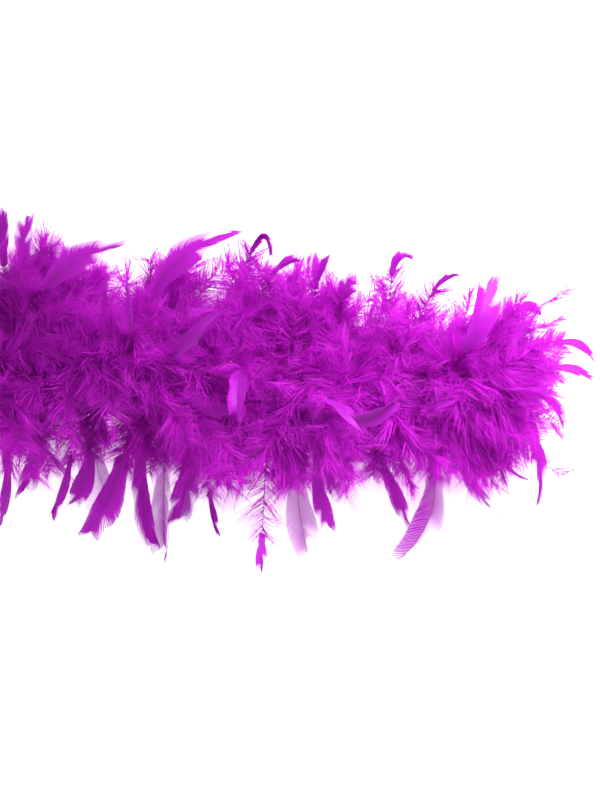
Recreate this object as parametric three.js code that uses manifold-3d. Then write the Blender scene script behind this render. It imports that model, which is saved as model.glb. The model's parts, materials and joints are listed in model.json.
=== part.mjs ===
// A feather boa lying straight along X on a flat surface. Millimetres, +Z up.
// The origin is on that surface, under the middle of the boa.
// A twisted cotton cord runs down the middle. Two strands of stitched feathers are wound round it,
// and each turn of a strand is one whorl: a band of stitched quills with feathers standing out from it.
// The cord bends anywhere, so it is divided into equal spans with a pivot between each pair.
import * as THREE from "three";
import { mergeVertices } from "three/addons/utils/BufferGeometryUtils.js";
import Module from "manifold-3d";

const wasm = await Module();
wasm.setup();

// Driving dimensions.
const SPANS = 12;
const SPAN = 140; // the length of boa that bends as one
const CORD_RADIUS = 2.5;
const CORD_HEIGHT = 58; // of the cord's middle over the surface, with the feathers under it pressed flat
const SIDE_REACH = 120; // from the cord's middle to the feather tips, level with the surface
const TOP_REACH = 105; // the same, straight up
const GAP = 0.3; // between pieces that touch
const SIDES = 8; // of every round piece

// Whorls, two in each span.
const WHORL_PLACE = SPAN / 4; // from the middle of the span, one each way
const BAND_RADIUS = 10; // of the stitched quills
const BAND_HALF = 30; // half the band's length along the cord
const FEATHERS = 8; // in a whorl
const FEATHER_HALF_WIDTH = 13;
const FEATHER_THICKNESS = 2;
const FOOT_HALF_WIDTH = 30; // of the pressed feathers that the boa rests on
const FOOT_HALF_LENGTH = 12;

// What finishes each end, measured from the end of the outermost whorl.
const TUFT_LENGTH = 20; // the band of the tuft whose feathers sweep past the end
const TUFT_SWEEP = THREE.MathUtils.degToRad(46); // of its feathers, towards the end
const TUFT_REACH = 102;
const WHIPPING_LENGTH = 10;
const WHIPPING_THICKNESS = 1.6;
const KNOT_RADIUS = 7;
const TAIL_LENGTH = 12;
const SPACE = 1; // between one of these and the next, along the cord

const cotton = new THREE.MeshStandardMaterial({ color: 0x8d1c9c, roughness: 0.9, metalness: 0 });
const thread = new THREE.MeshStandardMaterial({ color: 0x7a1589, roughness: 0.5, metalness: 0 });
const feather = new THREE.MeshStandardMaterial({ color: 0xbe1fd2, roughness: 0.75, metalness: 0 });

// A closed three.js geometry as a solid that can be joined and cut.
function solid(geometry) {
  const bare = geometry.index ? geometry.toNonIndexed() : geometry.clone();
  bare.deleteAttribute("normal");
  bare.deleteAttribute("uv");
  const merged = mergeVertices(bare, 1e-4);
  return new wasm.Manifold(
    new wasm.Mesh({
      numProp: 3,
      vertProperties: merged.attributes.position.array,
      triVerts: new Uint32Array(merged.index.array),
    }),
  );
}

function geometryOf(made) {
  const mesh = made.getMesh();
  return new THREE.BufferGeometry()
    .setAttribute("position", new THREE.BufferAttribute(mesh.vertProperties, 3))
    .setIndex(new THREE.BufferAttribute(mesh.triVerts, 1));
}

function piece(name, geometry, material) {
  const mesh = new THREE.Mesh(geometry, material);
  mesh.name = name;
  return mesh;
}

// A profile of (distance along the cord, radius) points turned about the cord, which is the X axis here.
function turned(profile) {
  const points = profile.map(([along, radius]) => new THREE.Vector2(radius, along));
  return new THREE.LatheGeometry(points, SIDES).rotateZ(-Math.PI / 2);
}

// A length of cord with rounded ends, so that two lengths can tilt against each other.
function cordLength(from, to) {
  const steps = [0, 0.35, 0.7, 1];
  const rounded = (end, inward) =>
    steps.map((share) => {
      const angle = (share * Math.PI) / 2;
      return [end + inward * CORD_RADIUS * (1 - Math.cos(angle)), CORD_RADIUS * Math.sin(angle)];
    });
  return turned([...rounded(from, 1), ...rounded(to, -1).reverse()]);
}

// The hole that the cord runs through.
function cordHole() {
  const radius = (CORD_RADIUS + GAP) / Math.cos(Math.PI / SIDES);
  return solid(new THREE.CylinderGeometry(radius, radius, SPAN, SIDES).rotateZ(Math.PI / 2));
}

// Everything under the surface that the boa lies on.
function underTheSurface() {
  const deep = 2 * SIDE_REACH;
  return solid(
    new THREE.BoxGeometry(2 * SPAN, 3 * SIDE_REACH, deep).translate(0, 0, -CORD_HEIGHT - deep / 2),
  );
}

// The band of quills, thick in the middle and tapered to its ends.
function quillBand(halfLength) {
  const taper = halfLength / 3;
  return solid(
    turned([
      [-halfLength, 0],
      [-halfLength, 0.6 * BAND_RADIUS],
      [-taper, BAND_RADIUS],
      [taper, BAND_RADIUS],
      [halfLength, 0.6 * BAND_RADIUS],
      [halfLength, 0],
    ]),
  );
}

// One feather pointing up: a narrow quill that widens to a vane and closes to a rounded tip.
function upright(reach) {
  const outline = new THREE.Shape();
  outline.moveTo(-2, 0);
  outline.lineTo(2, 0);
  outline.lineTo(0.7 * FEATHER_HALF_WIDTH, 0.4 * reach);
  outline.lineTo(FEATHER_HALF_WIDTH, 0.68 * reach);
  outline.lineTo(0.5 * FEATHER_HALF_WIDTH, reach);
  outline.lineTo(-0.5 * FEATHER_HALF_WIDTH, reach);
  outline.lineTo(-FEATHER_HALF_WIDTH, 0.68 * reach);
  outline.lineTo(-0.7 * FEATHER_HALF_WIDTH, 0.4 * reach);
  const across = new THREE.Vector3(0, 1, 0);
  const up = new THREE.Vector3(0, 0, 1);
  const along = new THREE.Vector3(1, 0, 0);
  return new THREE.ExtrudeGeometry(outline, { depth: FEATHER_THICKNESS, bevelEnabled: false })
    .translate(0, 0, -FEATHER_THICKNESS / 2)
    .applyMatrix4(new THREE.Matrix4().makeBasis(across, up, along));
}

// The feathers pressed between the cord and the surface, with a flat foot.
function foot() {
  const outline = new THREE.Shape();
  outline.moveTo(-7, 0);
  outline.lineTo(-FOOT_HALF_WIDTH, -CORD_HEIGHT);
  outline.lineTo(FOOT_HALF_WIDTH, -CORD_HEIGHT);
  outline.lineTo(7, 0);
  const across = new THREE.Vector3(0, 1, 0);
  const up = new THREE.Vector3(0, 0, 1);
  const along = new THREE.Vector3(1, 0, 0);
  return solid(
    new THREE.ExtrudeGeometry(outline, { depth: 2 * FOOT_HALF_LENGTH, bevelEnabled: false })
      .translate(0, 0, -FOOT_HALF_LENGTH)
      .applyMatrix4(new THREE.Matrix4().makeBasis(across, up, along)),
  );
}

// Feathers all round the cord, the first one turned by startAngle from straight up.
function feathersRound(startAngle, sweep, reachAt) {
  return Array.from({ length: FEATHERS }, (_, i) => {
    const angle = startAngle + (i * 2 * Math.PI) / FEATHERS;
    return solid(upright(reachAt(angle)).rotateY(sweep).rotateX(angle));
  });
}

function joined(solids) {
  return solids.reduce((whole, next) => whole.add(next));
}

function whorl(startAngle) {
  const reachAt = (angle) => TOP_REACH + (SIDE_REACH - TOP_REACH) * Math.abs(Math.sin(angle));
  const whole = joined([quillBand(BAND_HALF), foot(), ...feathersRound(startAngle, 0, reachAt)]);
  return geometryOf(whole.subtract(underTheSurface()).subtract(cordHole()));
}

function endTuft() {
  const half = TUFT_LENGTH / 2;
  const feathers = feathersRound(Math.PI / FEATHERS, TUFT_SWEEP, () => TUFT_REACH);
  const whole = joined([quillBand(half), ...feathers]);
  return geometryOf(whole.subtract(underTheSurface()).subtract(cordHole()));
}

// The thread wound tightly round the cord behind the knot.
function whipping() {
  const half = WHIPPING_LENGTH / 2;
  const outer = CORD_RADIUS + GAP + WHIPPING_THICKNESS;
  const ring = turned([
    [-half, 0],
    [-half, outer - 0.5],
    [-half + 0.8, outer],
    [half - 0.8, outer],
    [half, outer - 0.5],
    [half, 0],
  ]);
  return geometryOf(solid(ring).subtract(cordHole()));
}

// The cut end of the cord, frayed a little wider than the cord.
function frayedTail() {
  return turned([
    [0, 0],
    [0, CORD_RADIUS],
    [0.6 * TAIL_LENGTH, 1.1 * CORD_RADIUS],
    [TAIL_LENGTH, 1.5 * CORD_RADIUS],
    [TAIL_LENGTH, 0],
  ]);
}

// Where each end piece starts, measured from the middle of the outermost span towards the end.
const bandEnd = WHORL_PLACE + BAND_HALF;
const tuftStart = bandEnd + SPACE;
const whippingStart = tuftStart + TUFT_LENGTH + SPACE;
const knotStart = whippingStart + WHIPPING_LENGTH + SPACE;
const tailStart = knotStart + 2 * KNOT_RADIUS + GAP;

// The pieces that finish one end, in the frame of the outermost span, with the end towards +X.
function endPieces(side) {
  const pieces = [
    [piece("end_tuft_" + side, endTuft(), feather), tuftStart + TUFT_LENGTH / 2],
    [piece("end_whipping_" + side, whipping(), thread), whippingStart + WHIPPING_LENGTH / 2],
    [piece("end_knot_" + side, new THREE.SphereGeometry(KNOT_RADIUS, 10, 8), cotton), knotStart + KNOT_RADIUS],
    [piece("cord_tail_" + side, frayedTail(), cotton), tailStart],
  ];
  for (const [mesh, along] of pieces) mesh.position.x = along;
  return pieces.map(([mesh]) => mesh);
}

const whorlA = whorl(0);
const whorlB = whorl(Math.PI / FEATHERS);
const pivotEnd = SPAN / 2 - GAP / 2; // where a length of cord stops, just short of the pivot
const knotEnd = knotStart - GAP;

const boa = new THREE.Group();
for (let i = 0; i < SPANS; i++) {
  const number = String(i + 1).padStart(2, "0");
  const first = i === 0;
  const last = i === SPANS - 1;
  const span = new THREE.Group();
  span.position.set(((SPANS - 1) / 2 - i) * SPAN, 0, CORD_HEIGHT);
  const cord = cordLength(last ? -knotEnd : -pivotEnd, first ? knotEnd : pivotEnd);
  const a = piece("strand_a_whorl_" + number, whorlA, feather);
  const b = piece("strand_b_whorl_" + number, whorlB, feather);
  a.position.x = WHORL_PLACE;
  b.position.x = -WHORL_PLACE;
  span.add(piece("core_cord_" + number, cord, cotton), a, b);
  if (first || last) {
    const end = new THREE.Group();
    end.add(...endPieces(first ? "right" : "left"));
    end.rotation.z = first ? 0 : Math.PI;
    span.add(end);
  }
  boa.add(span);
}

export default boa;
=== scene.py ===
import json
import math
from dataclasses import dataclass

import bpy
import numpy as np
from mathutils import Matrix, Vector


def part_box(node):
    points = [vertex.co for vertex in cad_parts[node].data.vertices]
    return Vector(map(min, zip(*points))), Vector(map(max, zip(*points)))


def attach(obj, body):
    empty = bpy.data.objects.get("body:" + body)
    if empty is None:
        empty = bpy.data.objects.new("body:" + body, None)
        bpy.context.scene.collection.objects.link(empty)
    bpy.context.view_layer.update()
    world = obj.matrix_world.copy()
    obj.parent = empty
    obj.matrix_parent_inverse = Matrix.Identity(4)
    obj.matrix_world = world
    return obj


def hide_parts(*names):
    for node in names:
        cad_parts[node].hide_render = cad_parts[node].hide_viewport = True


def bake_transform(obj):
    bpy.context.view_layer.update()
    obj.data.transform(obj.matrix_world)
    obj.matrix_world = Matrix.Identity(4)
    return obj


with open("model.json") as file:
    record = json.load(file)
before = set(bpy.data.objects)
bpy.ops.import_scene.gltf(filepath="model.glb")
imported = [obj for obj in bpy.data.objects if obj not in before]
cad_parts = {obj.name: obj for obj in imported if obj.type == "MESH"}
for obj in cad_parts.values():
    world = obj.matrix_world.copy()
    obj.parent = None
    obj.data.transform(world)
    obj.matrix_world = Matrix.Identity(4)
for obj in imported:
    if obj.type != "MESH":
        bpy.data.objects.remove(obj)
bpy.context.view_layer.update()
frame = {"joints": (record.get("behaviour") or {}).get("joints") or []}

MM = 0.001

# The boa's own measures, from the frame.
SPANS = len(frame["joints"]) + 1
CORD_RADIUS = (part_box("core_cord_02")[1].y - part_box("core_cord_02")[0].y) / 2
CORD_Z = (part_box("core_cord_02")[1].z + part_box("core_cord_02")[0].z) / 2
TAIL_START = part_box("cord_tail_right")[0].x
TAIL_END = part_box("cord_tail_right")[1].x
KNOT_MIDDLE = (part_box("end_knot_right")[0].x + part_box("end_knot_right")[1].x) / 2
TUFT_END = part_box("end_whipping_right")[0].x - 1 * MM  # where the last quills are sewn
FLUFF_END = TAIL_END + 2 * MM  # of the shafts that close each end, which hide the knot and the tail


def whorl_x(strand, number):
    low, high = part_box(f"strand_{strand}_whorl_{number:02d}")
    return (low.x + high.x) / 2


SPAN_X = [(whorl_x("a", i + 1) + whorl_x("b", i + 1)) / 2 for i in range(SPANS)]
SPAN = SPAN_X[0] - SPAN_X[1]

# Feathers.
FEATHERS_PER_METRE = 1080
TUFT_FEATHERS = 70  # more at each end, sewn close together
FLAT_SHARE = 0.26  # of the feathers that keep their vane; the rest are down to the tip
FLAT_LENGTH = (0.074, 0.104)
FLUFF_LENGTH = (0.058, 0.086)
BUNCH = 5  # feathers that lie the same way
LOOSE_SHARE = 0.35  # of the feathers that lie on their own instead, and fill the gaps
DOWN_BARBS = 470  # on each feather near the right-hand end, which is seen close up
FEWER_BARBS = 190  # on each feather elsewhere, and wider
CLOSE_UP_LENGTHS = 3  # of the boa, from the right-hand end, that count as near
DOWN_LENGTH = 0.031  # of a barb low on the shaft
DOWN_WIDTH = 0.41 * MM  # of a single barb
CLUMP_WIDTH = 1.1 * MM  # of barbs that cling together, near the quill
CLUMP_SHARE = 0.22
FACES_PER_BARB = 4  # of down
PIECE_FACES = 95000  # the most in one piece, before triangles
VANE_BARBS = 56  # on each side of a vane
VANE_WIDTH = 0.010  # of one side
QUILL_RADIUS = 0.55 * MM  # where the shaft is thickest
TUFT_SIZE = 0.92  # of the feathers there, beside the others
FLOOR_CLEARANCE = 0.8 * MM
SIDE_REACH = 0.135  # of the outermost tips, from the cord
FEATHER_TINTS = 8  # shades that the dye bath gives

# The cord and its thread.
CORD_PLIES = 3
CORD_TURNS = 90  # that the plies make in a metre
STITCH_RADIUS = CORD_RADIUS + 1.6 * MM  # at which the thread runs round the cord, through the quills
THREAD_RADIUS = 0.3 * MM
WHIPPING_RADIUS = 0.48 * MM  # of the thread that the ends are whipped with
YARNS = 14  # that each cut end frays into
YARN_RADIUS = 0.35 * MM

# Camera: looking straight down on the right-hand end.
PICTURE_SHAPE = 4 / 3  # its height over its width
VIEW_WIDTH = 0.408
VIEW_MIDDLE = (0.750, -0.0163)
VIEW_TURN = math.radians(4)
LENS = 85


# ---------------------------------------------------------------- camera and light


def make_camera():
    data = bpy.data.cameras.new("camera")
    data.lens = LENS
    camera = bpy.data.objects.new("camera", data)
    bpy.context.collection.objects.link(camera)
    # The picture is taller than wide, so the sensor's width lies along its height.
    distance = VIEW_WIDTH * PICTURE_SHAPE * LENS / data.sensor_width
    camera.location = (*VIEW_MIDDLE, CORD_Z + distance)
    camera.rotation_euler = (0, 0, VIEW_TURN)
    data.clip_end = 100
    bpy.context.scene.camera = camera


def area_light(name, place, aim, size, power, spread=180):
    data = bpy.data.lights.new(name, "AREA")
    data.size = size
    data.energy = power
    data.spread = math.radians(spread)
    light = bpy.data.objects.new(name, data)
    bpy.context.collection.objects.link(light)
    light.location = place
    light.rotation_euler = (light.location - Vector(aim)).to_track_quat("Z", "Y").to_euler()


def make_lights():
    """A soft box close to the right-hand end, which falls off along the boa, and weaker light on the rest."""
    near, middle, far = (0.84, 0, CORD_Z), (0.3, 0, 0), (-0.35, 0, CORD_Z)
    area_light("soft_box", (0.98, 0.30, 0.46), near, size=0.3, power=1.48, spread=78)
    area_light("second_soft_box", (-0.35, 0.3, 1.0), far, size=0.9, power=3.0, spread=85)
    area_light("overhead_light", (0.3, 1.4, 2.6), middle, size=2.4, power=15)
    world = bpy.data.worlds.new("studio")
    world.use_nodes = True
    background = world.node_tree.nodes["Background"]
    background.inputs["Color"].default_value = (1, 1, 1, 1)
    background.inputs["Strength"].default_value = 0.30
    bpy.context.scene.world = world
    bpy.context.scene.view_settings.view_transform = "Standard"


# ---------------------------------------------------------------- shaders


class Value:
    """A number that changes over a surface: one output of a shader node. Arithmetic adds Math nodes."""

    def __init__(self, shader, output):
        self.shader = shader
        self.output = output

    def math(self, operation, first, second):
        return self.shader.node("ShaderNodeMath", {"operation": operation}, {0: first, 1: second})

    def __add__(self, other):
        return self.math("ADD", self, other)

    def __radd__(self, other):
        return self.math("ADD", other, self)

    def __sub__(self, other):
        return self.math("SUBTRACT", self, other)

    def __rsub__(self, other):
        return self.math("SUBTRACT", other, self)

    def __mul__(self, other):
        return self.math("MULTIPLY", self, other)

    def __rmul__(self, other):
        return self.math("MULTIPLY", other, self)

    def __mod__(self, other):
        return self.math("MODULO", self, other)

    def __rmod__(self, other):
        return self.math("MODULO", other, self)


class Shader:
    """A material being built, node by node."""

    def __init__(self, name):
        self.material = bpy.data.materials.new(name)
        self.material.use_nodes = True
        self.tree = self.material.node_tree
        self.tree.nodes.clear()

    def node(self, kind, settings, sockets, output=0):
        """Adds a node, fills its sockets with numbers, colours or Values, and returns an output."""
        made = self.tree.nodes.new(kind)
        for name, value in settings.items():
            if name == "stops":
                self.set_stops(made.color_ramp, value)
            else:
                setattr(made, name, value)
        for key, value in sockets.items():
            socket = self.socket(made.inputs, key)
            if isinstance(value, Value):
                self.tree.links.new(value.output, socket)
            else:
                socket.default_value = value
        return Value(self, self.socket(made.outputs, output))

    @staticmethod
    def socket(sockets, key):
        if isinstance(key, int):
            return sockets[key]
        return next(s for s in sockets if key in (s.identifier, s.name))

    @staticmethod
    def set_stops(ramp, stops):
        while len(ramp.elements) < len(stops):
            ramp.elements.new(0.5)
        for element, (place, colour) in zip(ramp.elements, stops):
            element.position = place
            element.color = (*colour, 1)

    def ramp(self, value, *stops):
        return self.node("ShaderNodeValToRGB", {"stops": stops}, {"Fac": value})

    def mix(self, factor, first, second, blend="MIX"):
        settings = {"data_type": "RGBA", "blend_type": blend}
        sockets = {"Factor_Float": factor, "A_Color": first, "B_Color": second}
        return self.node("ShaderNodeMix", settings, sockets, "Result_Color")

    def noise(self, scale, detail=3, vector=None):
        sockets = {"Scale": scale, "Detail": detail}
        if vector is not None:
            sockets["Vector"] = vector
        return self.node("ShaderNodeTexNoise", {}, sockets, "Fac")

    def principled(self, sockets):
        return self.node("ShaderNodeBsdfPrincipled", {}, sockets)

    def object_place(self):
        return self.node("ShaderNodeTexCoord", {}, {}, "Object")

    def uv(self):
        """The two coordinates of the piece's own map: its shade, and how far out or along a place is."""
        where = self.node("ShaderNodeUVMap", {"uv_map": "OFBake"}, {})
        split = self.node("ShaderNodeSeparateXYZ", {}, {"Vector": where})
        return split, Value(self, split.output.node.outputs["Y"])

    def finish(self, surface):
        end = self.tree.nodes.new("ShaderNodeOutputMaterial")
        self.tree.links.new(surface.output, end.inputs["Surface"])
        return self.material


def see_through_light(shader, surface, colour, share):
    """Lets part of the light through, as thin keratin does."""
    glow = shader.node("ShaderNodeBsdfTranslucent", {}, {"Color": (*colour, 1)})
    return shader.node("ShaderNodeMixShader", {}, {"Fac": share, 1: surface, 2: glow})


def down_material():
    """Matt and soft. Each barb darkens towards its root deep in the strand, a painted shade, and pales
    towards its tip, a painted light through the thin tip.
    """
    shader = Shader("dyed_down")
    tint, along = shader.uv()
    # Both dye ramps run from dark at a barb's root to pale at its tip: painted shade inside the strand,
    # painted light at the thin tips.
    deep = shader.ramp(
        along, (0.0, (0.15, 0.001, 0.16)), (0.5, (0.42, 0.003, 0.43)), (1.0, (0.66, 0.014, 0.69))
    )
    pink = shader.ramp(
        along, (0.0, (0.24, 0.001, 0.24)), (0.5, (0.60, 0.007, 0.62)), (1.0, (0.86, 0.045, 0.90))
    )
    colour = shader.mix(tint, deep, pink)
    surface = shader.principled({"Base Color": colour, "Roughness": 0.62, "Specular IOR Level": 0.25})
    return shader.finish(see_through_light(shader, surface, (0.78, 0.010, 0.82), 0.34))


def vane_material():
    """Satin barbs: paler towards the edge of the vane, a painted light where the thin edge lets light
    through, with a slight change of shade from barb to barb.
    """
    shader = Shader("dyed_vane")
    across, along = shader.uv()
    outward = (across * FEATHER_TINTS) % 1.0
    tint = across * FEATHER_TINTS - outward
    streak = shader.noise(90, 2, shader.node("ShaderNodeCombineXYZ", {}, {"X": tint, "Y": along}))
    # From the shaft to the edge of the vane each ramp grows paler: painted light through the thin edge.
    deep = shader.ramp(outward, (0.0, (0.30, 0.004, 0.36)), (1.0, (0.44, 0.014, 0.52)))
    pink = shader.ramp(outward, (0.0, (0.46, 0.010, 0.51)), (1.0, (0.60, 0.022, 0.66)))
    colour = shader.mix(tint * (0.7 / FEATHER_TINTS) + streak * 0.3, deep, pink)
    roughness = 0.40 + streak * 0.2
    surface = shader.principled({"Base Color": colour, "Roughness": roughness, "Specular IOR Level": 0.25})
    return shader.finish(see_through_light(shader, surface, (0.66, 0.02, 0.72), 0.30))


def quill_material():
    """The shaft: dark and matt in the strand, paler and glossy towards the tip."""
    shader = Shader("dyed_quill")
    _, along = shader.uv()
    colour = shader.ramp(along, (0.0, (0.30, 0.01, 0.32)), (1.0, (0.34, 0.02, 0.37)))
    return shader.finish(shader.principled({"Base Color": colour, "Roughness": 0.42 - along * 0.14}))


def twisted_material(name, dark, light, roughness, fibre_scale):
    """Cotton or polyester yarn: fine fibres in two shades, with a bump of the same fibres."""
    shader = Shader(name)
    fibres = shader.noise(fibre_scale, 6, shader.object_place())
    wear = shader.noise(fibre_scale / 12, 3, shader.object_place())
    colour = shader.mix(fibres * 0.6 + wear * 0.4, (*dark, 1), (*light, 1))
    bump = shader.node("ShaderNodeBump", {}, {"Strength": 0.4, "Distance": 0.2 * MM, "Height": fibres})
    worn = roughness + fibres * 0.15
    surface = shader.principled({"Base Color": colour, "Roughness": worn, "Normal": bump})
    return shader.finish(surface)


def surface_material():
    """The pale table and wall: nearly white, with the faintest mottling."""
    shader = Shader("pale_table")
    mottle = shader.noise(6, 3, shader.object_place())
    colour = shader.mix(mottle, (0.93, 0.93, 0.93, 1), (0.96, 0.96, 0.96, 1))
    glow = {"Emission Color": (1, 1, 1, 1), "Emission Strength": 0.85}
    return shader.finish(shader.principled({"Base Color": colour, "Roughness": 0.8, **glow}))


# ---------------------------------------------------------------- feather shapes


def unit(vectors):
    return vectors / np.maximum(np.linalg.norm(vectors, axis=-1, keepdims=True), 1e-9)


def column(values):
    return np.asarray(values)[:, None]


def smoothstep(values, low, high):
    share = np.clip((values - low) / (high - low), 0, 1)
    return share * share * (3 - 2 * share)


def within(values, reach, sharpness):
    """Numbers brought smoothly inside plus or minus reach."""
    return values / (1 + np.abs(values / reach) ** sharpness) ** (1 / sharpness)


def laid_down(points):
    """Presses what would pass through the table up to it, and lets it slide outwards."""
    softness = 4 * MM
    slide = 0.35  # outwards, to each bit of lift
    lift = softness * np.logaddexp(0, (FLOOR_CLEARANCE - points[..., 2]) / softness)
    outward = np.sign(points[..., 1]) * smoothstep(np.abs(points[..., 1]), 0, 20 * MM)
    pressed = points.copy()
    pressed[..., 1] = within(points[..., 1] + slide * lift * outward, SIDE_REACH, 40)
    pressed[..., 2] += lift
    return pressed


@dataclass
class Feathers:
    """Many feathers at once, one to a row."""

    root: np.ndarray  # where the shaft leaves the cord
    bend: np.ndarray  # the point that it sets out for
    tip: np.ndarray
    facing: np.ndarray  # the way that the flat side faces
    twist: np.ndarray  # how far that turns by the tip, in radians
    vane: np.ndarray  # the share of the shaft that carries a vane, or 0
    width: np.ndarray  # of one side of the vane
    pointed: np.ndarray  # how much the vane narrows to its tip, 0 to 1
    cover: np.ndarray  # how much of the space between its barbs they cover
    tint: np.ndarray  # the shade of its dye, 0 to 1

    def __len__(self):
        return len(self.root)

    def some(self, chosen):
        return Feathers(*(getattr(self, name)[chosen] for name in vars(self)))

    def length(self):
        halves = (self.bend - self.root, self.tip - self.bend)
        return sum(np.linalg.norm(half, axis=1) for half in halves)

    def shaft(self, t):
        """Points and directions at t along every shaft, one row for each feather."""
        t = column(t)
        points = (1 - t) ** 2 * self.root + 2 * t * (1 - t) * self.bend + t**2 * self.tip
        forward = unit((1 - t) * (self.bend - self.root) + t * (self.tip - self.bend))
        flat = unit(np.cross(self.facing, forward))
        turn = column(self.twist) * t**2
        sideways = np.cos(turn) * flat + np.sin(turn) * np.cross(forward, flat)
        return points, forward, sideways, np.cross(forward, sideways)


def joined(first, second):
    both = (np.concatenate([getattr(first, name), getattr(second, name)]) for name in vars(first))
    return Feathers(*both)


def strip_mesh(middles, across, shades, places):
    """Flat strips, as points, quads and a map. Each strip has points down its middle (strips, steps, 3), half
    its width there as vectors, and at both its edges a shade and a place."""
    strips, steps = middles.shape[:2]
    corners = np.stack([middles - across, middles + across], axis=2).reshape(-1, 3)
    start = np.arange(strips)[:, None] * steps * 2 + np.arange(steps - 1)[None, :] * 2
    quads = np.stack([start, start + 1, start + 3, start + 2], axis=-1).reshape(-1, 4)
    uv = np.stack([shades, places], axis=-1).reshape(-1, 2)
    return laid_down(corners), quads, uv


def barb_courses(own, t, ripeness, side, wave, rng):
    """Where each barb of down leaves its shaft, which way, how it sags from there, and how long it is."""
    count = len(t)
    root, forward, sideways, outward = own.shaft(t)
    sweep = 0.38 + 0.42 * ripeness  # towards the tip, in radians
    ahead = sweep + wave(0.18, 3.0) + rng.normal(0, 0.12, count)
    lift = wave(0.50, 2.2) + rng.normal(0, 0.20, count)
    flat = column(np.cos(ahead) * side) * sideways + column(np.sin(ahead)) * forward
    heading = unit(column(np.cos(lift)) * flat + column(np.sin(lift)) * outward)
    taper = 1.0 - 0.45 * ripeness**2
    length = DOWN_LENGTH * taper * rng.uniform(0.55, 1.15, count) * (0.9 + wave(0.12, 2.6))
    sag = column(wave(0.38, 1.7)) * outward + column(wave(0.34, 2.9) + 0.10) * forward
    sag[:, 2] -= 0.08  # of its length, under its own weight
    return root, heading, sag, length


def down_strips(feathers, barbs, rng):
    """The loose barbs of the lower part of each feather, in clumps that wave together."""
    which = np.repeat(np.arange(len(feathers)), barbs)
    own = feathers.some(which)
    count = len(which)
    reach = 1.0 - own.vane * 0.92  # the down runs a little into the vane
    t = (0.03 + 0.97 * rng.random(count) ** 0.9) * reach
    ripeness = t / reach  # 0 at the quill, 1 where the down ends
    side = rng.choice([-1.0, 1.0], count)

    def wave(strength, cycles):
        """A number that drifts along each feather, the same for barbs that lie together."""
        phase = rng.random((len(feathers), 2))[which]
        turns = cycles * t + 0.17 * side + phase[:, 0]
        finer = 2.3 * turns + phase[:, 1]
        return strength * (np.sin(2 * np.pi * turns) + 0.6 * np.sin(2 * np.pi * finer))

    root, heading, sag, length = barb_courses(own, t, ripeness, side, wave, rng)
    crimp_way = unit(np.cross(heading, rng.normal(size=(count, 3))))
    crimp = rng.uniform(0.4, 1.3, count) * MM
    cycles = length / rng.uniform(9, 16, count) / MM
    phase = rng.random(count)
    s = np.linspace(0, 1, FACES_PER_BARB + 1)[None, :]
    run = length[:, None] * s
    bowed = root[:, None] + run[..., None] * heading[:, None] + (run * s)[..., None] * sag[:, None]
    ripple = crimp[:, None] * s * np.sin(2 * np.pi * (cycles[:, None] * s + phase[:, None]))
    middles = bowed + ripple[..., None] * crimp_way[:, None]

    clumped = (rng.random(count) < CLUMP_SHARE) & (ripeness < 0.6)
    single_width = DOWN_WIDTH * math.sqrt(DOWN_BARBS / barbs)
    width = np.where(clumped, CLUMP_WIDTH, single_width) * rng.uniform(0.6, 1.3, count)
    half = width[:, None] / 2 * (1.0 - 0.86 * s**1.5)
    across_way = unit(np.cross(heading, crimp_way + 0.5 * rng.normal(size=(count, 3))))
    shade = np.clip(own.tint + rng.normal(0, 0.10, count), 0.02, 0.98)
    shades = shade[:, None, None] + np.array([-0.01, 0.01])[None, None, :] * np.ones((1, s.size, 1))
    # Where each barb starts on the colour ramp: barbs low on the shaft, deep in the strand, start at its dark
    # end and those further out start paler. This is painted shade of the strand's interior.
    inward = column(0.55 * ripeness)
    places = np.repeat(np.clip(inward + (1 - inward) * s, 0, 1)[..., None], 2, axis=2)
    return strip_mesh(middles, half[..., None] * across_way[:, None], shades, places)


def vane_outline(own, share, flats, on_each_side, rng):
    """How far each barb of a vane reaches, to the vane's width, and how far it leans ahead, in radians. Two
    partings on each side shorten the barbs there and turn those on either side apart."""
    swell = 0.45 + 0.55 * smoothstep(share, 0, 0.5)
    outline = swell * (1 - 0.85 * own.pointed * smoothstep(share, 0.3, 1.15))
    ahead = 0.70 + 0.30 * share
    for strength in (0.34, 0.20):
        parting = on_each_side(rng.uniform(0.1, 1.0, (flats, 2)))
        parted = on_each_side(rng.uniform(0.0, strength, (flats, 2)))
        ahead = ahead + parted * np.tanh((share - parting) / 0.04)
        outline = outline * (1 - parted * np.exp(-(((share - parting) / 0.05) ** 2)))
    return outline, ahead


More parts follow.
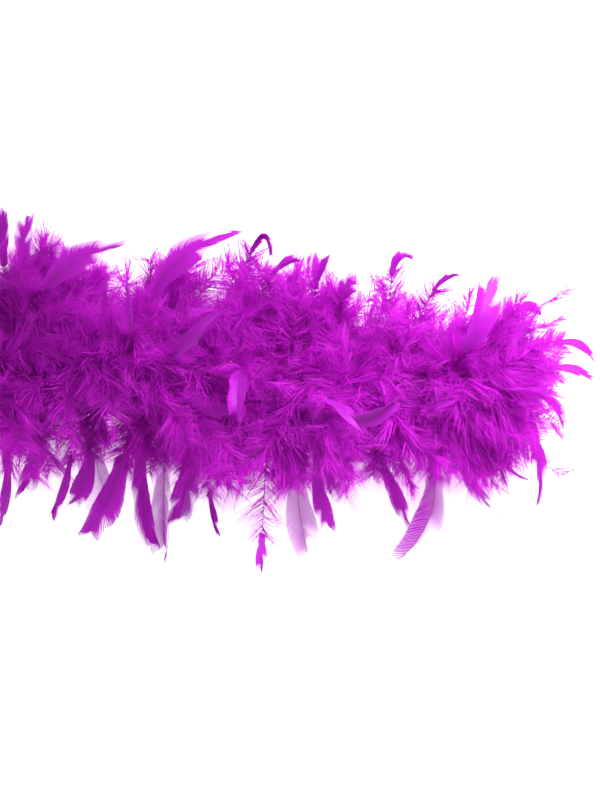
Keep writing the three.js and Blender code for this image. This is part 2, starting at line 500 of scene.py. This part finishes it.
def vane_strips(feathers, barbs, rng):
    """The vane at the tip of each flat: barbs side by side on both sides of the shaft, parted in places."""
    flats = feathers.some(feathers.vane > 0)
    which = np.repeat(np.arange(len(flats)), 2 * barbs)
    own = flats.some(which)
    number = np.tile(np.repeat(np.arange(barbs), 2), len(flats))
    side = np.tile([-1.0, 1.0], len(flats) * barbs)
    share = (number + 0.5) / barbs  # of the way up the vane
    t = 1 - own.vane * (1 - share)
    root, forward, sideways, outward = own.shaft(t)

    def of_each(values):
        """The same number for all the barbs of a flat."""
        return values[which]

    def on_each_side(values):
        """The same number for the barbs on one side of a flat."""
        return values[which, (side > 0).astype(int)]

    outline, ahead = vane_outline(own, share, len(flats), on_each_side, rng)
    cup = of_each(rng.normal(0.0, 0.26, len(flats))) + 0.10
    curl = of_each(rng.normal(0, 0.16, len(flats))) * side
    length = own.width * outline * rng.uniform(0.95, 1.03, len(which)) / np.cos(ahead).clip(0.4)
    cut = of_each(rng.normal(0, 0.45, len(flats))) * side * own.width  # how far the tip's cut slants
    to_cut = (1 - t) * own.length() + cut + rng.normal(1.5, 0.7, len(which)) * MM
    length = np.minimum(length, to_cut.clip(2 * MM) / np.sin(ahead).clip(0.5))

    s = np.linspace(0, 1, 4)[None, :]
    run = length[:, None] * s
    turn = ahead[:, None] + 0.18 * s
    flat = (run * np.cos(turn) * side[:, None])[..., None] * sideways[:, None]
    flat += (run * np.sin(turn))[..., None] * forward[:, None]
    rise = length[:, None] * (cup[:, None] * s**2 + curl[:, None] * s)
    rise += rng.normal(0, 0.12, len(which))[:, None] * MM * s
    middles = root[:, None] + flat + rise[..., None] * outward[:, None]
    spacing = own.length() * own.vane / barbs
    half = (own.cover * spacing)[:, None] / 2 * (1.0 - 0.25 * s**3)
    cell = np.floor(own.tint * FEATHER_TINTS * 0.999)
    # How far out along its barb a place is; the vane's ramps turn this paler towards the edge, a painted
    # light through the thin barbs.
    outness = 0.94 * s + 0.03
    shades = np.repeat(((cell[:, None] + outness) / FEATHER_TINTS)[..., None], 2, axis=2)
    places = share[:, None, None] + np.array([-0.45, 0.45])[None, None, :] / barbs
    return strip_mesh(middles, half[..., None] * forward[:, None], shades, places * np.ones((1, s.size, 1)))


def ring(sides, first, second):
    """Directions all round, from rows of two directions square to each other: (rows, sides, 3)."""
    turns = 2 * np.pi * np.arange(sides) / sides
    return np.cos(turns)[None, :, None] * first[:, None] + np.sin(turns)[None, :, None] * second[:, None]


def tube_quads(rings, sides):
    """The faces between rings of points, in rows of four corners."""
    step = (np.arange(rings - 1) * sides)[:, None]
    side = np.arange(sides)[None, :]
    after = (side + 1) % sides
    corners = [step + side, step + after, step + sides + after, step + sides + side]
    return np.stack(corners, axis=-1).reshape(-1, 4)


def shaft_tubes(feathers, sides=4, steps=10):
    """Tapered quills and shafts, one open tube for each feather."""
    ends = np.where(feathers.vane > 0, 1.0, 0.75)  # a shaft all of down is too fine to see past its end
    rows = []
    for share in np.linspace(0, 1, steps):
        centre, _, sideways, outward = feathers.shaft(ends * share)
        radius = QUILL_RADIUS * (1 - 0.82 * share)
        rows.append(centre[:, None] + radius * ring(sides, sideways, outward))
    points = np.stack(rows, axis=1)
    first = (np.arange(len(feathers)) * steps * sides)[:, None, None]
    quads = (first + tube_quads(steps, sides)[None]).reshape(-1, 4)
    shades = feathers.tint[:, None, None] + 0.01 * (np.arange(sides) % 2)
    shades = np.broadcast_to(np.clip(shades, 0, 1), points.shape[:3])
    places = np.broadcast_to(np.linspace(0, 1, steps)[None, :, None], points.shape[:3])
    return laid_down(points.reshape(-1, 3)), quads, np.stack([shades, places], axis=-1).reshape(-1, 2)


# ---------------------------------------------------------------- growing the boa


def in_bunches(count, spread, own_spread, rng):
    """A random number for each feather, nearly the same within a bunch."""
    bunches = rng.normal(0, spread, math.ceil(count / BUNCH))
    return np.repeat(bunches, BUNCH)[:count] + rng.normal(0, own_spread, count)


def grown_lengths(x, angle, is_flat, lean, size, rng):
    """How long each feather is: none reaches far past the end, and those that point down are short."""
    count = len(x)
    room = (FLUFF_END - np.abs(x)) / np.sin(np.abs(lean)).clip(0.05)
    flat_length = rng.uniform(*FLAT_LENGTH, count)
    fluff_length = rng.uniform(*FLUFF_LENGTH, count)
    length = size * np.where(is_flat, flat_length, fluff_length)
    length = np.minimum(length, np.where(is_flat, room + 22 * MM, room))
    under = smoothstep(-np.sin(angle), 0.75, 1.0)
    return length * (1 - 0.35 * under)


def grown(x, angle, is_flat, lean, size, rng):
    """Feathers sewn in at x along the cord, standing out at that angle round it and leaning along it.
    Those that point up lie over under their own weight."""
    count = len(x)
    length = grown_lengths(x, angle, is_flat, lean, size, rng)
    radial = np.stack([np.zeros(count), np.cos(angle), np.sin(angle)], axis=1)
    heading = column(np.cos(lean)) * radial + column(np.sin(lean)) * np.array([[1.0, 0, 0]])
    sewn_at = np.stack([x, np.zeros(count), np.full(count, CORD_Z)], axis=1)
    root = sewn_at + radial * (CORD_RADIUS + 2 * MM)
    swerve = unit(np.cross(heading, rng.normal(size=(count, 3))))
    bend = root + heading * column(length * 0.55)
    bow = np.where(is_flat, rng.normal(0, 0.30, count), rng.normal(0, 0.20, count))
    tip = root + heading * column(length) + swerve * column(length * bow)

    upright = smoothstep(heading[:, 2], 0.2, 1.0)
    way = in_bunches(count, 1.2, 0.25, rng) + 0.5 + np.pi / 4  # each falls, in radians from the far side
    over = column(length * 0.75 * upright)
    tip += over * np.stack([np.sin(way), np.cos(way), np.full(count, -0.5)], axis=1)
    bend -= 0.1 * over * np.array([[0, 0, 1.0]])
    tip[:, 2] -= 0.08 * length
    tip[:, 1] = within(tip[:, 1], np.where(is_flat, 104, 82) * MM, 6)
    facing = unit(np.cross(heading, swerve) + 0.4 * rng.normal(size=(count, 3)))
    facing[:, 2] += 1.2 * upright

    vane = np.where(is_flat, rng.uniform(0.38, 0.52, count), 0.0)
    width = VANE_WIDTH * rng.uniform(0.5, 1.3, count)
    cover = rng.uniform(0.7, 1.2, count)
    twist = rng.normal(0, 0.6, count)
    pointed = rng.uniform(0, 1, count) ** 1.5
    own_tint = rng.random(count)
    tint = 0.7 * np.repeat(own_tint[::BUNCH], BUNCH)[:count] + 0.3 * own_tint
    return Feathers(root, bend, tip, unit(facing), twist, vane, width, pointed, cover, tint)


def grow_strand(start, rng):
    """The feathers of one strand, their quills along a helix round the cord."""
    count = round(TUFT_END * FEATHERS_PER_METRE)
    evenly = np.linspace(-TUFT_END, TUFT_END, count)
    x = np.clip(evenly + rng.normal(0, 2 * MM, count), -TUFT_END, TUFT_END)
    loose = rng.random(count) < LOOSE_SHARE
    turned = np.where(loose, rng.uniform(-np.pi, np.pi, count), in_bunches(count, 1.3, 0.35, rng))
    angle = start + 2 * np.pi * x / SPAN + turned
    placed_by_hand = TAIL_END - x < PLACED_LENGTH
    is_flat = rng.random(count) < np.where(placed_by_hand, RANDOM_AMONG_PLACED, 1.0) * FLAT_SHARE
    to_end = TUFT_END - np.abs(x)
    sweep = np.sign(x) * (1 - smoothstep(to_end, 0, 0.075)) ** 1.2
    lean = sweep + in_bunches(count, 0.32, 0.16, rng)
    shorter_at_end = 0.90 + 0.10 * smoothstep(to_end, 0, 0.15)
    size = (1 + in_bunches(count, 0.08, 0.02, rng)) * shorter_at_end
    return grown(x, angle, is_flat, lean, size, rng)


def grow_tuft(side, rng):
    """The feathers that close one end of the boa."""
    count = TUFT_FEATHERS
    x = side * (TUFT_END - rng.uniform(0, 20 * MM, count))
    angle = rng.uniform(0, 2 * np.pi, count)
    lean = side * rng.uniform(0.45, 1.45, count)
    is_flat = rng.random(count) < 0.3 * FLAT_SHARE
    return grown(x, angle, is_flat, lean, TUFT_SIZE, rng)


def flat(root, bend, tip, width, vane, cover=1.15, pointed=0.4):
    """A turkey flat, given in millimetres. Its shaft leaves the cord at root, which is a place along
    X from the cord's right-hand end, and curves by way of bend to tip, whose x is from there too, y from the
    cord and z from the table."""
    return root, bend, tip, width, vane, pointed, cover


PLACED_LENGTH = 0.37  # of the boa, from its right-hand end, whose flats are listed one by one
RANDOM_AMONG_PLACED = 0.2  # of the usual number of random flats, in that length

FLATS_AT_THE_END = [
    flat(-50, (-32, 22, 128), (-27, 69, 104), 14, 0.60),
    flat(-24, (-6, 71, 78), (13, 54, 72), 4, 0.50),
    flat(-29, (-10, 25, 98), (9, 53, 92), 6, 0.55),
    flat(-9, (31, 56, 62), (54, 24, 52), 4.5, 0.50),
    flat(-6, (26, 28, 60), (53, 11, 55), 5, 0.50),
    flat(-9, (26, 8, 60), (37, -22, 48), 6, 0.60),
    flat(-16, (15, -9, 56), (20, -37, 46), 4, 0.50),
    flat(-29, (32, -21, 50), (25, -77, 30), 5.5, 0.60),
    flat(-36, (-8, -55, 48), (16, -60, 42), 1.5, 0.50),
]
FLATS_ALONG_THE_NEAR_EDGE = [
    flat(-57, (-36, -56, 46), (-8, -80, 30), 10, 0.55),
    flat(-77, (-24, -75, 56), (-68, -122, 34), 13, 0.62, 0.68),
    flat(-111, (-88, -55, 54), (-63, -96, 40), 7, 0.45),
    flat(-145, (-148, -74, 54), (-132, -120, 38), 13, 0.52, 0.72),
    flat(-140, (-134, -66, 56), (-118, -102, 40), 8, 0.45),
    flat(-164, (-165, -86, 60), (-162, -133, 92), 5, 0.25),
    flat(-203, (-208, -79, 50), (-196, -111, 36), 4, 0.35),
    flat(-214, (-212, -66, 54), (-222, -104, 38), 12, 0.50),
    flat(-232, (-236, -80, 54), (-230, -124, 36), 13, 0.60, 0.80),
    flat(-240, (-260, -76, 50), (-240, -122, 34), 9, 0.60),
    flat(-256, (-258, -82, 54), (-284, -118, 36), 13, 0.58),
    flat(-276, (-290, -62, 52), (-272, -92, 38), 13, 0.50, 0.60),
    flat(-290, (-276, -72, 52), (-296, -98, 38), 9, 0.50),
    flat(-295, (-294, -76, 52), (-310, -106, 36), 4, 0.50),
    flat(-332, (-330, -62, 58), (-296, -82, 44), 13, 0.62, 0.72),
    flat(-322, (-316, -60, 56), (-330, -92, 40), 9, 0.50),
    flat(-336, (-340, -85, 50), (-344, -115, 34), 6, 0.50),
]
FLATS_ALONG_THE_FAR_EDGE = [
    flat(-325, (-330, 62, 118), (-268, 74, 122), 11, 0.58, 1.0, 0.6),
    flat(-250, (-262, 66, 120), (-193, 90, 120), 12, 0.66, 1.1, 0.7),
    flat(-203, (-180, 118, 104), (-170, 78, 104), 4, 0.50),
    flat(-186, (-176, 74, 104), (-153, 76, 104), 4, 0.40),
    flat(-152, (-160, 50, 100), (-148, 77, 98), 1.3, 0.40),
    flat(-145, (-142, 61, 104), (-136, 77, 100), 8, 0.40),
    flat(-125, (-127, 62, 104), (-114, 62, 100), 9, 0.40),
    flat(-80, (-100, 90, 104), (-79, 82, 100), 5, 0.45),
    flat(-77, (-68, 73, 104), (-46, 73, 100), 4, 0.40),
    flat(-336, (-347, 50, 104), (-348, 94, 96), 6, 0.40),
    flat(-322, (-338, 57, 104), (-332, 92, 96), 8, 0.40, 0.8),
]
FLATS_ON_TOP = [
    flat(-237, (-235, -1, 132), (-201, 35, 142), 8, 0.62),
    flat(-179, (-187, 14, 134), (-184, -28, 136), 8, 0.60),
    flat(-145, (-131, -10, 132), (-106, -29, 130), 6, 0.50),
    flat(-142, (-110, -43, 132), (-84, -13, 134), 7, 0.62),
    flat(-258, (-253, 11, 132), (-261, 51, 128), 2.5, 0.50),
]


def placed_flats(flats, rng):
    """Flats listed one by one, lying face up on the fluff."""
    columns = [np.array(values, float) for values in zip(*flats)]
    roots, bends, tips, widths, vanes, pointed, covers = columns
    origin = np.array([TAIL_END, 0, 0])
    root = origin + np.stack([roots * MM, 0 * roots, CORD_Z + 0 * roots], axis=1)
    facing = unit(np.array([0, 0, 1.0]) + 0.25 * rng.normal(size=root.shape))
    tint = rng.random(len(flats))
    twist = rng.normal(0, 0.3, len(flats))
    bend = origin + bends * MM
    tip = origin + tips * MM
    return Feathers(root, bend, tip, facing, twist, vanes, widths * MM, pointed, covers, tint)


def piece(name, shape, material):
    """A mesh object from points, quads and a map."""
    points, quads, uv = shape
    mesh = bpy.data.meshes.new(name)
    mesh.vertices.add(len(points))
    mesh.vertices.foreach_set("co", points.astype(np.float32).ravel())
    mesh.loops.add(quads.size)
    mesh.loops.foreach_set("vertex_index", quads.astype(np.int32).ravel())
    mesh.polygons.add(len(quads))
    mesh.polygons.foreach_set("loop_start", np.arange(0, quads.size, 4, dtype=np.int32))
    mesh.update(calc_edges=True)
    layer = mesh.uv_layers.new(name="OFBake")
    layer.data.foreach_set("uv", uv[quads.ravel()].astype(np.float32).ravel())
    mesh.polygons.foreach_set("use_smooth", np.ones(len(quads), dtype=bool))
    mesh.materials.append(material)
    made = bpy.data.objects.new(name, mesh)
    bpy.context.collection.objects.link(made)
    return made


class Stretch:
    """A length of the boa from the middle of one span to the middle of the next, or the length beyond the
    last middle, which rides on the outermost span."""

    beyond = 2.0  # past either end of the boa

    def __init__(self, index):
        self.index = index
        self.name = f"{index:02d}"
        self.high = SPAN_X[index - 1] if index > 0 else self.beyond
        self.low = SPAN_X[index] if index < SPANS else -self.beyond
        self.bodies = [f"span_{n:02d}" for n in (index, index + 1) if 1 <= n <= SPANS]
        self.whorls = [f"strand_b_whorl_{index:02d}"] if index > 0 else []
        self.whorls += [f"strand_a_whorl_{index + 1:02d}"] if index < SPANS else []

    def holds(self, x):
        return (x > self.low) & (x <= self.high)

    def inside(self, reach):
        """Where the length ends, no further than reach from the middle of the boa: high, then low."""
        return min(self.high, reach), max(self.low, -reach)

    def hold(self, made):
        if len(self.bodies) == 1:
            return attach(made, self.bodies[0])
        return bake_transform(made)


def make_strand(letter, feathers, stretches, rng):
    """The down, vanes and shafts of one strand's feathers, in pieces for each stretch of the boa."""
    down, vane, quill = down_material(), vane_material(), quill_material()
    for stretch in stretches:
        own = feathers.some(stretch.holds(feathers.root[:, 0]))
        end = f"_{letter}_{stretch.name}"
        barbs = DOWN_BARBS if stretch.index < CLOSE_UP_LENGTHS else FEWER_BARBS
        pieces = math.ceil(len(own) * barbs * FACES_PER_BARB / PIECE_FACES)
        batches = np.array_split(np.arange(len(own)), pieces)
        fluff = [
            piece(f"down{end}_{n + 1}", down_strips(own.some(batch), barbs, rng), down)
            for n, batch in enumerate(batches)
        ]
        vanes = piece("vanes" + end, vane_strips(own, VANE_BARBS, rng), vane)
        quills = piece("quills" + end, shaft_tubes(own), quill)
        for made in (*fluff, vanes, quills):
            stretch.hold(made)
        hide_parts(*(w for w in stretch.whorls if w.startswith("strand_" + letter)))


def make_strands(stretches, rng):
    on_a = FLATS_AT_THE_END + FLATS_ON_TOP
    on_b = FLATS_ALONG_THE_NEAR_EDGE + FLATS_ALONG_THE_FAR_EDGE
    strand_a = joined(grow_strand(0.0, rng), placed_flats(on_a, rng))
    strand_b = joined(grow_strand(np.pi, rng), placed_flats(on_b, rng))
    make_strand("a", joined(strand_a, grow_tuft(1, rng)), stretches, rng)
    make_strand("b", joined(strand_b, grow_tuft(-1, rng)), stretches, rng)


# ---------------------------------------------------------------- cord, thread and ends


def tube_along(path, radius, sides, plies=0, groove=0.0, turns_per_metre=0.0):
    """An open tube round a path (steps, 3). With plies, its section is that many strands twisted together."""
    forward = unit(np.gradient(path, axis=0))
    first = unit(np.cross(forward, [0.0, 0.3, 1.0]))
    second = np.cross(forward, first)
    run = np.concatenate([[0], np.cumsum(np.linalg.norm(np.diff(path, axis=0), axis=1))])
    around = 2 * np.pi * (np.arange(sides) / sides + turns_per_metre * run[:, None])
    swell = 1 - groove * (1 - np.abs(np.cos(plies / 2 * around)))
    spread = radius * swell[..., None]
    points = (path[:, None] + spread * ring(sides, first, second)).reshape(-1, 3)
    share = np.broadcast_to((run / run[-1])[:, None], (len(path), sides))
    places = np.broadcast_to(np.arange(sides) / sides, share.shape)
    return points, tube_quads(len(path), sides), np.stack([places, share], axis=-1).reshape(-1, 2)


def cord_along(path, size=1.0, sides=16, groove=0.28):
    """A length of the twisted cord."""
    return tube_along(path, CORD_RADIUS * size, sides, CORD_PLIES, groove, CORD_TURNS)


def merged(shapes):
    """Several shapes as one."""
    counts = np.cumsum([0] + [len(points) for points, _, _ in shapes[:-1]])
    points = np.concatenate([shape[0] for shape in shapes])
    quads = np.concatenate([shape[1] + first for shape, first in zip(shapes, counts)])
    return points, quads, np.concatenate([shape[2] for shape in shapes])


def straight(x_from, x_to, step=2.5 * MM):
    x = np.linspace(x_from, x_to, max(3, round(abs(x_to - x_from) / step)))
    return np.stack([x, np.zeros_like(x), np.full_like(x, CORD_Z)], axis=1)


def helix(x_from, x_to, radius, pitch, start=0.0, steps_per_turn=16):
    steps = max(4, round(abs(x_to - x_from) / pitch * steps_per_turn))
    x = np.linspace(x_from, x_to, steps)
    angle = start + 2 * np.pi * x / pitch
    return np.stack([x, radius * np.cos(angle), CORD_Z + radius * np.sin(angle)], axis=1)


def make_cord(stretches, cotton, thread):
    """The twisted core, and the stitching that runs through the quills of each strand."""
    for stretch in stretches:
        core = cord_along(straight(*stretch.inside(KNOT_MIDDLE - 5 * MM)))
        cord = piece("twisted_cord_" + stretch.name, core, cotton)
        seams = [
            tube_along(helix(*stretch.inside(TUFT_END), STITCH_RADIUS, SPAN / 4, start), THREAD_RADIUS, 5)
            for start in (0.0, np.pi)
        ]
        stitching = piece("stitching_" + stretch.name, merged(seams), thread)
        stretch.hold(cord)
        stretch.hold(stitching)
        if stretch.index < SPANS:
            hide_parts(f"core_cord_{stretch.index + 1:02d}")


def overhand(side):
    """The path of an overhand knot in the cord, in to out along X."""
    a = np.linspace(-0.86 * np.pi, 0.86 * np.pi, 90)
    size = CORD_RADIUS * 0.95
    x = size * (0.55 * a - 0.9 * np.sin(3 * a))
    y = size * 0.62 * (np.sin(a) + 1.6 * np.sin(2 * a))
    z = size * 0.62 * (np.cos(a) - 1.6 * np.cos(2 * a))
    return np.stack([side * (KNOT_MIDDLE + x), y, CORD_Z + z], axis=1)


def frayed_yarns(side):
    """The yarns of the cut end, which spread a little."""
    share = np.linspace(0, 1, 6)
    x = side * (TAIL_START + 4 * MM + share * (TAIL_END - TAIL_START - 5 * MM))
    yarns = []
    for i in range(YARNS):
        turn = 2.4 * i + share
        reach = CORD_RADIUS * math.sqrt((i + 0.5) / YARNS) * (0.7 + 0.8 * share**2)
        path = np.stack([x, reach * np.cos(turn), CORD_Z + reach * np.sin(turn)], axis=1)
        yarns.append(tube_along(path, YARN_RADIUS, 5))
    return yarns


def make_end(side, name, body, cotton, thread):
    """The whipping, the knot and the frayed tail of one end."""
    low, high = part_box("end_whipping_" + name)
    wound = helix(low.x, high.x, CORD_RADIUS + 1.0 * MM, pitch=0.9 * MM)
    whipping = piece("whipping_" + name, tube_along(wound, WHIPPING_RADIUS, 6), thread)
    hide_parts("end_whipping_" + name)
    tied = cord_along(overhand(side), size=0.9, sides=12, groove=0.25)
    knot = piece("knot_" + name, tied, cotton)
    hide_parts("end_knot_" + name)
    stub = cord_along(straight(side * (KNOT_MIDDLE + 3 * MM), side * (TAIL_START + 5 * MM)))
    tail = piece("frayed_tail_" + name, merged([stub, *frayed_yarns(side)]), cotton)
    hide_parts("cord_tail_" + name)
    for made in (whipping, knot, tail):
        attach(made, body)
    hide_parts("end_tuft_" + name)


def make_studio():
    """The table, and a pale wall all round, far off, so that a low view looks into white."""
    pale = surface_material()
    bpy.ops.mesh.primitive_plane_add(size=60, location=(0, 0, 0))
    bpy.context.object.name = "table"
    bpy.ops.mesh.primitive_cylinder_add(
        vertices=96, radius=28, depth=6, end_fill_type="NOTHING", location=(0, 0, 3)
    )
    bpy.context.object.name = "wall"
    for name in ("table", "wall"):
        bpy.data.objects[name].data.materials.append(pale)


make_camera()
make_lights()
make_studio()
rng = np.random.default_rng(7)
stretches = [Stretch(i) for i in range(SPANS + 1)]
make_strands(stretches, rng)
cotton = twisted_material("core_cotton", (0.16, 0.006, 0.20), (0.40, 0.02, 0.46), 0.80, 2500)
thread = twisted_material("stitching_thread", (0.12, 0.006, 0.16), (0.34, 0.02, 0.40), 0.45, 4000)
make_cord(stretches, cotton, thread)
make_end(1, "right", "span_01", cotton, thread)
make_end(-1, "left", f"span_{SPANS:02d}", cotton, thread)
